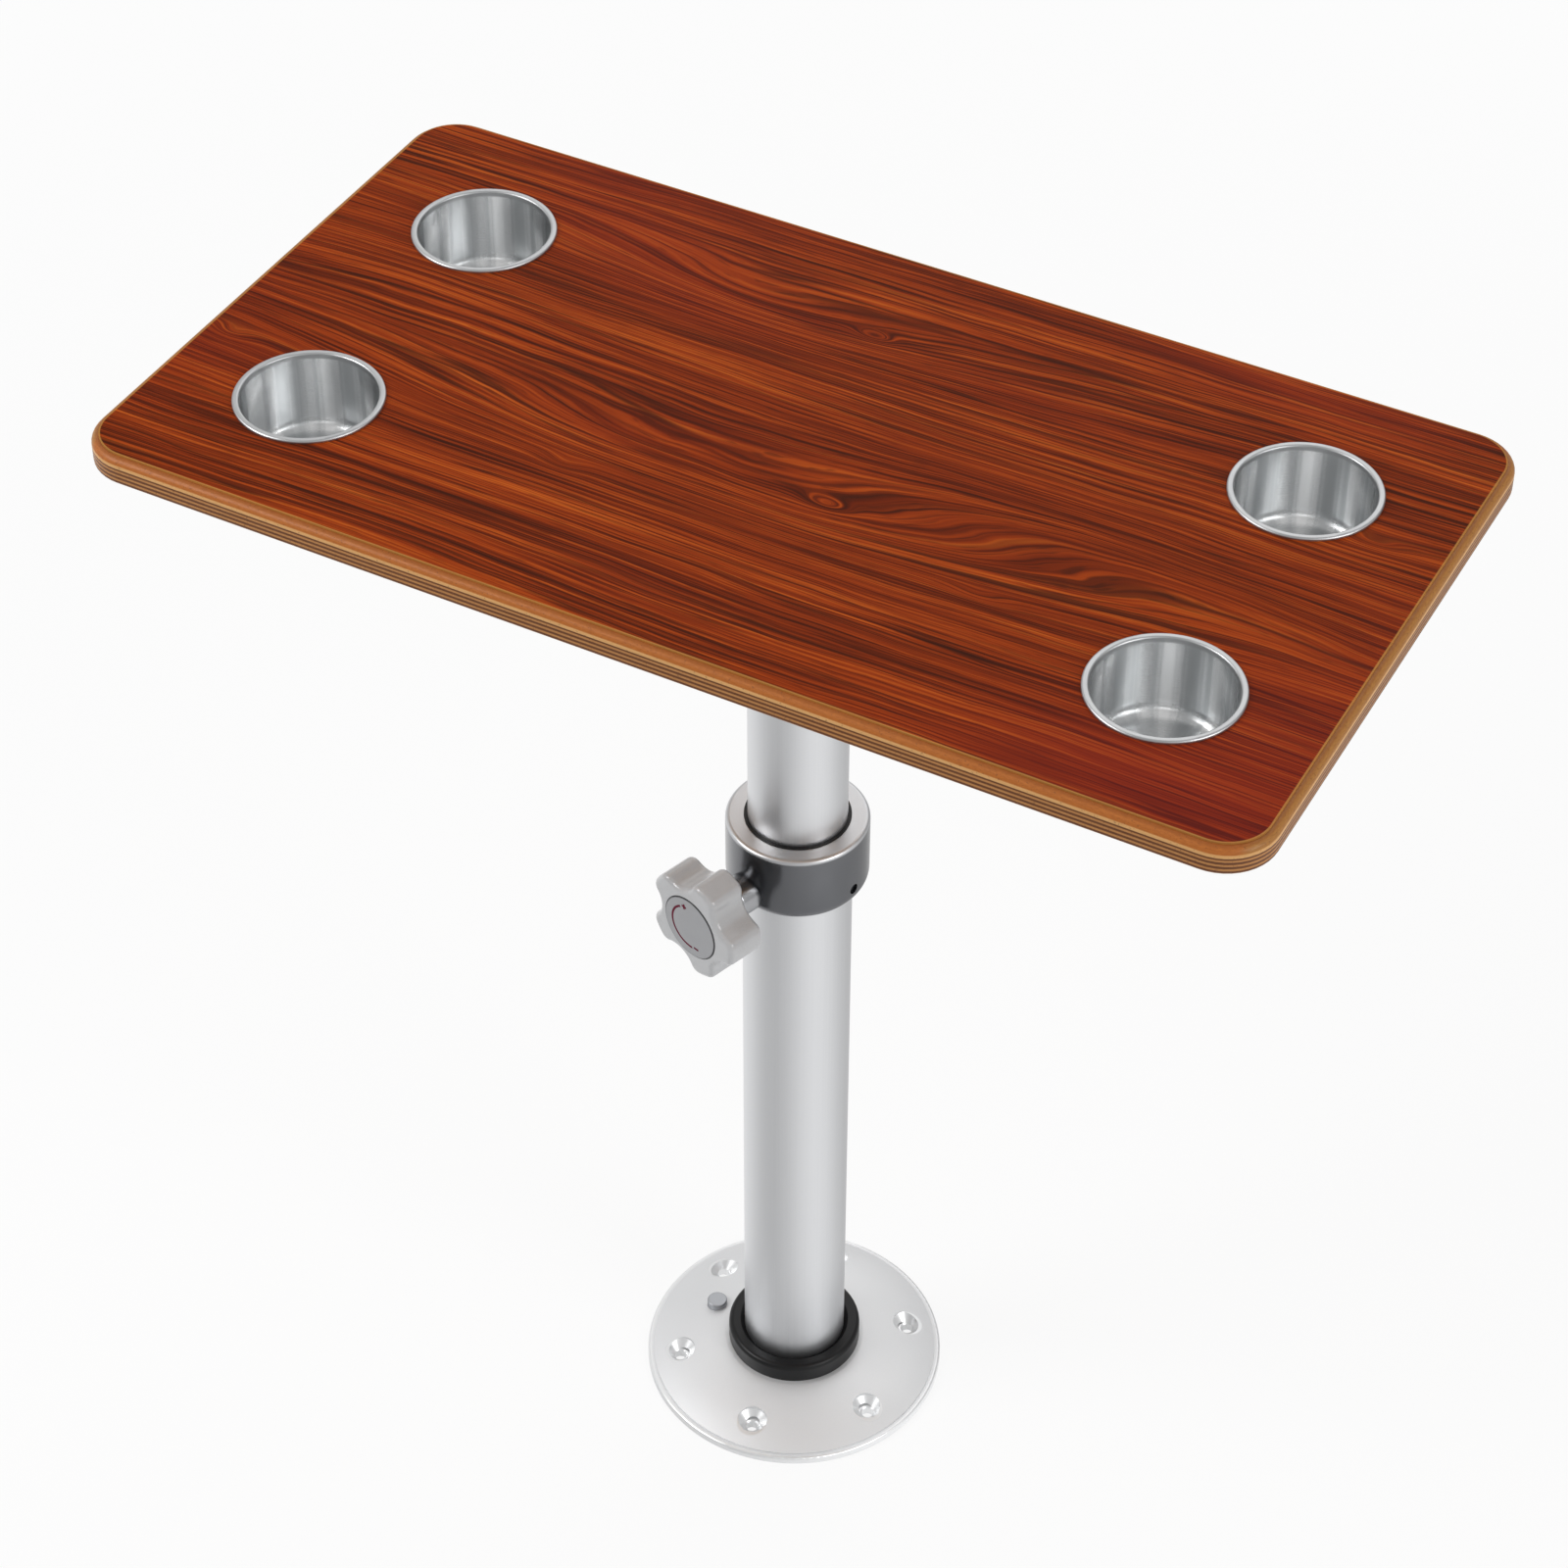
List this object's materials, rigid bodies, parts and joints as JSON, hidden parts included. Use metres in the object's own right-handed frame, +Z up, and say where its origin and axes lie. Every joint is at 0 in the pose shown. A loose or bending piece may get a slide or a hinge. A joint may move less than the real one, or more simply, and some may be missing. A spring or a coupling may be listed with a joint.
{
  "type": "pedestal table",
  "caption": "Small rectangular wood-look table with metal cup inserts on a height-adjustable tube column with a clamp knob and a round floor plate.",
  "frame": {"origin": "centre of the base plate's underside, on the column's axis, at floor level", "axes": "+Z up along the column, +X along the table's long side, +Y along its short side"},
  "size_m": [0.635, 0.343, 0.6917],
  "materials": {
    "plywood": "sealed, light",
    "laminate": "printed wood grain, semi-gloss",
    "stainless": "brushed",
    "cast_aluminium": "satin",
    "anodised_tube": "satin anodised",
    "black_nylon": "moulded",
    "pale_nylon": "moulded",
    "zinc_steel": "zinc plated",
    "grey_plastic": "glossy moulded",
    "cap_plastic": "moulded, slightly darker",
    "button_metal": "satin",
    "spring_steel": "bright"
  },
  "bodies": {
    "column": {"base_plate": "cast_aluminium", "foot_plug": "black_nylon", "lower_tube": "anodised_tube", "collar": "cast_aluminium", "collar_bush": "black_nylon", "collar_screws": "zinc_steel", "button_keeper": "zinc_steel", "keeper_screws": "zinc_steel", "button_spring": "spring_steel"},
    "guide": {"guide_bush": "pale_nylon"},
    "table": {"upper_tube": "anodised_tube", "socket_bush": "black_nylon", "hub_screw": "zinc_steel", "mount_plate": "cast_aluminium", "mount_screws": "zinc_steel", "table_board": "plywood", "top_laminate": "laminate", "cup_holder_1": "stainless", "cup_holder_2": "stainless", "cup_holder_3": "stainless", "cup_holder_4": "stainless"},
    "shoe": {"clamp_shoe": "pale_nylon"},
    "knob": {"knob_stud": "zinc_steel", "knob_body": "grey_plastic", "knob_cap": "cap_plastic"},
    "button": {"release_button": "button_metal"}
  },
  "joints": [
    {"name": "height_slide", "type": "slide", "parent": "column", "child": "guide", "axis": [0, 0, 1], "range_m": [-0.18, 0.03]},
    {"name": "table_swivel", "type": "hinge", "parent": "guide", "child": "table", "pos_m": [0, 0, 0.35], "axis": [0, 0, 1], "continuous": true},
    {"name": "shoe_slide", "type": "slide", "parent": "column", "child": "shoe", "axis": [-0.309, -0.9511, 0], "range_m": [0, 0.003]},
    {"name": "knob_turn", "type": "hinge", "parent": "shoe", "child": "knob", "pos_m": [-0.01545, -0.04755, 0.4105], "axis": [-0.309, -0.9511, 0], "range_deg": [0, 720]},
    {"name": "button_press", "type": "slide", "parent": "column", "child": "button", "axis": [0, 0, -1], "range_m": [0, 0.0035], "stiffness_N_per_m": 900, "springref_m": -0.002, "deforming": ["button_spring"]}
  ],
  "couplings": [
    {"joint": "shoe_slide", "follows": "knob_turn", "m_per_rad": 0.00023873}
  ]
}
